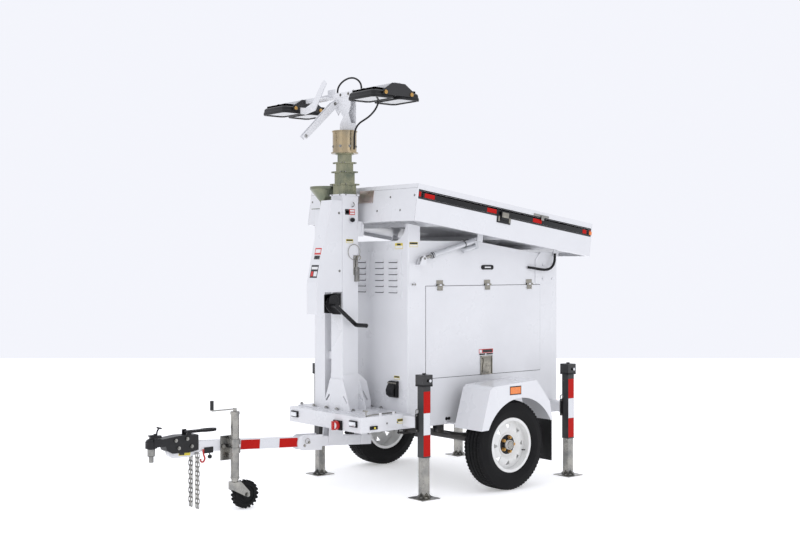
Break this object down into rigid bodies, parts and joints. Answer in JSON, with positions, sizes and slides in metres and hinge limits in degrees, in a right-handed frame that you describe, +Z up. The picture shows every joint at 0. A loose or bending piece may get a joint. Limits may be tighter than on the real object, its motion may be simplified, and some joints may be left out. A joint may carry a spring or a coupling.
{
  "type": "solar lighting tower trailer",
  "caption": "Towed lighting tower with telescopic mast, four tilting floodlights, tilting solar panel box, battery cabinet, outrigger jacks and folding drawbar.",
  "frame": {"origin": "on the ground, at the middle of the overall length and width", "axes": "+Z up, -Y towards the towing coupling, +X the trailer's left side"},
  "size_m": [1.7475, 3.7408, 3.1517],
  "materials": {
    "white_paint": "satin powder coat",
    "white_rim": "satin enamel",
    "white_panel": "satin powder coat",
    "black_paint": "satin powder coat",
    "dark_steel": "matt chassis paint",
    "zinc": "galvanised",
    "stainless": "brushed",
    "tyre": "matt",
    "wheel_rubber": "matt",
    "cable_rubber": "semi-matt",
    "battery_plastic": "matt",
    "lamp_plastic": "gloss",
    "red_plastic": "gloss",
    "black_plastic": "matt",
    "lamp_black": "powder coated casting",
    "aluminium_frame": "anodised",
    "actuator_grey": "anodised"
  },
  "bodies": {
    "chassis": {"chassis_frame": "white_paint", "axle": "dark_steel", "fenders": "white_paint", "cabinet_shell": "white_paint", "cabinet_fittings": "white_paint", "battery_bank": "battery_plastic", "electrical_fittings": "lamp_plastic", "mast_base": "white_paint", "mast_tube": "white_paint", "cable_post": "white_paint", "winch_housing": "white_paint", "winch": "black_paint", "drawbar_socket": "white_paint", "panel_conduit": "cable_rubber"},
    "wheel_left": {"tyre_left": "tyre", "rim_left": "white_rim"},
    "wheel_right": {"tyre_right": "tyre", "rim_right": "white_rim"},
    "head": {"head_drum": "zinc", "head_frame": "white_paint", "arch_cable": "cable_rubber", "loop_cable": "cable_rubber"},
    "winch_crank": {"winch_crank": "black_paint"},
    "panel_box": {"panel_box": "white_panel"},
    "wing_left": {"panel_wing_left": "aluminium_frame"},
    "wing_right": {"panel_wing_right": "aluminium_frame"},
    "drawbar": {"drawbar": "white_paint", "coupler": "black_paint", "jockey_tube": "zinc", "safety_chains": "zinc"},
    "coupler_handle": {"coupler_handle": "black_plastic"},
    "jockey_crank": {"jockey_crank": "zinc"},
    "jockey_leg": {"jockey_leg": "zinc"},
    "jockey_fork": {"jockey_fork": "zinc"},
    "jockey_wheel": {"jockey_wheel": "wheel_rubber"},
    "isolator_knob": {"isolator_knob": "red_plastic"},
    "outrigger_front_left": {"outrigger_front_left": "black_paint"},
    "jack_leg_front_left": {"jack_leg_front_left": "zinc"},
    "outrigger_rear_left": {"outrigger_rear_left": "black_paint"},
    "jack_leg_rear_left": {"jack_leg_rear_left": "zinc"},
    "door_left": {"door_left": "white_paint"},
    "door_latch_left": {"door_latch_left": "stainless"},
    "actuator_rod_left": {"actuator_rod_left": "stainless"},
    "actuator_body_left": {"actuator_body_left": "actuator_grey"},
    "outrigger_front_right": {"outrigger_front_right": "black_paint"},
    "jack_leg_front_right": {"jack_leg_front_right": "zinc"},
    "outrigger_rear_right": {"outrigger_rear_right": "black_paint"},
    "jack_leg_rear_right": {"jack_leg_rear_right": "zinc"},
    "door_right": {"door_right": "white_paint"},
    "door_latch_right": {"door_latch_right": "stainless"},
    "actuator_rod_right": {"actuator_rod_right": "stainless"},
    "actuator_body_right": {"actuator_body_right": "actuator_grey"},
    "mast_1": {"mast_section_1": "zinc"},
    "mast_2": {"mast_section_2": "zinc"},
    "mast_3": {"mast_section_3": "zinc"},
    "mast_4": {"mast_section_4": "zinc"},
    "lamp_front_left": {"lamp_front_left": "lamp_black"},
    "lamp_rear_left": {"lamp_rear_left": "lamp_black"},
    "lamp_front_right": {"lamp_front_right": "lamp_black"},
    "lamp_rear_right": {"lamp_rear_right": "lamp_black"}
  },
  "joints": [
    {"name": "wheel_spin_left", "type": "hinge", "parent": "chassis", "child": "wheel_left", "pos_m": [0.759, 0.76, 0.344], "axis": [1, 0, 0], "continuous": true},
    {"name": "outrigger_slide_front_left", "type": "slide", "parent": "chassis", "child": "outrigger_front_left", "axis": [1, 0, 0], "range_m": [0, 0.3]},
    {"name": "jack_lift_front_left", "type": "slide", "parent": "outrigger_front_left", "child": "jack_leg_front_left", "axis": [0, 0, 1], "range_m": [0, 0.25]},
    {"name": "outrigger_slide_rear_left", "type": "slide", "parent": "chassis", "child": "outrigger_rear_left", "axis": [1, 0, 0], "range_m": [0, 0.3]},
    {"name": "jack_lift_rear_left", "type": "slide", "parent": "outrigger_rear_left", "child": "jack_leg_rear_left", "axis": [0, 0, 1], "range_m": [0, 0.25]},
    {"name": "door_open_left", "type": "hinge", "parent": "chassis", "child": "door_left", "pos_m": [0.47, 0.847, 1.563], "axis": [0, -1, 0], "range_deg": [0, 95]},
    {"name": "door_latch_pull_left", "type": "hinge", "parent": "door_left", "child": "door_latch_left", "pos_m": [0.4705, 0.854, 0.981], "axis": [0, -1, 0], "range_deg": [0, 40]},
    {"name": "wheel_spin_right", "type": "hinge", "parent": "chassis", "child": "wheel_right", "pos_m": [-0.759, 0.76, 0.344], "axis": [1, 0, 0], "continuous": true},
    {"name": "outrigger_slide_front_right", "type": "slide", "parent": "chassis", "child": "outrigger_front_right", "axis": [-1, 0, 0], "range_m": [0, 0.3]},
    {"name": "jack_lift_front_right", "type": "slide", "parent": "outrigger_front_right", "child": "jack_leg_front_right", "axis": [0, 0, 1], "range_m": [0, 0.25]},
    {"name": "outrigger_slide_rear_right", "type": "slide", "parent": "chassis", "child": "outrigger_rear_right", "axis": [-1, 0, 0], "range_m": [0, 0.3]},
    {"name": "jack_lift_rear_right", "type": "slide", "parent": "outrigger_rear_right", "child": "jack_leg_rear_right", "axis": [0, 0, 1], "range_m": [0, 0.25]},
    {"name": "door_open_right", "type": "hinge", "parent": "chassis", "child": "door_right", "pos_m": [-0.47, 0.847, 1.563], "axis": [0, 1, 0], "range_deg": [0, 95]},
    {"name": "door_latch_pull_right", "type": "hinge", "parent": "door_right", "child": "door_latch_right", "pos_m": [-0.4705, 0.854, 0.981], "axis": [0, 1, 0], "range_deg": [0, 40]},
    {"name": "panel_tilt", "type": "hinge", "parent": "chassis", "child": "panel_box", "pos_m": [0, 1.64, 1.805], "axis": [-1, 0, 0], "range_deg": [0, 30]},
    {"name": "wing_slide_left", "type": "slide", "parent": "panel_box", "child": "wing_left", "axis": [1, 0, 0], "range_m": [0, 1.15]},
    {"name": "wing_slide_right", "type": "slide", "parent": "panel_box", "child": "wing_right", "axis": [-1, 0, 0], "range_m": [0, 1.15]},
    {"name": "actuator_swing_left", "type": "hinge", "parent": "chassis", "child": "actuator_rod_left", "pos_m": [0.5, 0.165, 1.765], "axis": [1, 0, 0], "range_deg": [0, 24.29]},
    {"name": "actuator_extend_left", "type": "slide", "parent": "actuator_rod_left", "child": "actuator_body_left", "axis": [0, 0.9659, 0.2587], "range_m": [0, 0.3705]},
    {"name": "actuator_swing_right", "type": "hinge", "parent": "chassis", "child": "actuator_rod_right", "pos_m": [-0.5, 0.165, 1.765], "axis": [1, 0, 0], "range_deg": [0, 24.29]},
    {"name": "actuator_extend_right", "type": "slide", "parent": "actuator_rod_right", "child": "actuator_body_right", "axis": [0, 0.9659, 0.2587], "range_m": [0, 0.3705]},
    {"name": "mast_raise_1", "type": "slide", "parent": "chassis", "child": "mast_1", "axis": [0, 0, 1], "range_m": [0, 1.25]},
    {"name": "mast_raise_2", "type": "slide", "parent": "mast_1", "child": "mast_2", "axis": [0, 0, 1], "range_m": [0, 1.25]},
    {"name": "mast_raise_3", "type": "slide", "parent": "mast_2", "child": "mast_3", "axis": [0, 0, 1], "range_m": [0, 1.25]},
    {"name": "mast_raise_4", "type": "slide", "parent": "mast_3", "child": "mast_4", "axis": [0, 0, 1], "range_m": [0, 1.25]},
    {"name": "head_pan", "type": "hinge", "parent": "mast_4", "child": "head", "pos_m": [0, -0.197, 2.568], "axis": [0, 0, 1], "range_deg": [-170, 170]},
    {"name": "lamp_tilt_front_left", "type": "hinge", "parent": "head", "child": "lamp_front_left", "pos_m": [0.455, -0.296, 2.9625], "axis": [1, 0, 0], "range_deg": [-90, 0]},
    {"name": "lamp_tilt_rear_left", "type": "hinge", "parent": "head", "child": "lamp_rear_left", "pos_m": [0.455, -0.054, 2.9625], "axis": [1, 0, 0], "range_deg": [0, 90]},
    {"name": "lamp_tilt_front_right", "type": "hinge", "parent": "head", "child": "lamp_front_right", "pos_m": [-0.69, -0.296, 2.9625], "axis": [1, 0, 0], "range_deg": [-90, 0]},
    {"name": "lamp_tilt_rear_right", "type": "hinge", "parent": "head", "child": "lamp_rear_right", "pos_m": [-0.69, -0.054, 2.9625], "axis": [1, 0, 0], "range_deg": [0, 90]},
    {"name": "winch_crank_turn", "type": "hinge", "parent": "chassis", "child": "winch_crank", "pos_m": [0.1, -0.367, 1.41], "axis": [1, 0, 0], "continuous": true},
    {"name": "drawbar_fold", "type": "hinge", "parent": "chassis", "child": "drawbar", "pos_m": [0, -0.60349, 0.42895], "axis": [-1, 0, 0], "range_deg": [0, 72]},
    {"name": "coupler_handle_lift", "type": "hinge", "parent": "drawbar", "child": "coupler_handle", "pos_m": [0, -1.56, 0.561], "axis": [1, 0, 0], "range_deg": [0, 60]},
    {"name": "jockey_crank_turn", "type": "hinge", "parent": "drawbar", "child": "jockey_crank", "pos_m": [0.112, -1.24, 0.7], "axis": [0, 0, 1], "continuous": true},
    {"name": "jockey_lift", "type": "slide", "parent": "drawbar", "child": "jockey_leg", "axis": [0, 0, 1], "range_m": [-0.22, 0.015]},
    {"name": "jockey_swivel", "type": "hinge", "parent": "jockey_leg", "child": "jockey_fork", "pos_m": [0.112, -1.24, 0.19], "axis": [0, 0, 1], "continuous": true},
    {"name": "jockey_spin", "type": "hinge", "parent": "jockey_fork", "child": "jockey_wheel", "pos_m": [0.112, -1.16, 0.1], "axis": [1, 0, 0], "continuous": true},
    {"name": "isolator_turn", "type": "hinge", "parent": "chassis", "child": "isolator_knob", "pos_m": [0.188, -0.42, 0.528], "axis": [0, -1, 0], "range_deg": [0, 90]}
  ],
  "couplings": [
    {"joint": "actuator_swing_left", "follows": "panel_tilt", "ratio": 0.79307},
    {"joint": "actuator_extend_left", "follows": "panel_tilt", "m_per_rad": 0.69999},
    {"joint": "actuator_swing_right", "follows": "panel_tilt", "ratio": 0.79307},
    {"joint": "actuator_extend_right", "follows": "panel_tilt", "m_per_rad": 0.69999},
    {"joint": "mast_raise_2", "follows": "mast_raise_1", "ratio": 1},
    {"joint": "mast_raise_3", "follows": "mast_raise_1", "ratio": 1},
    {"joint": "mast_raise_4", "follows": "mast_raise_1", "ratio": 1}
  ]
}
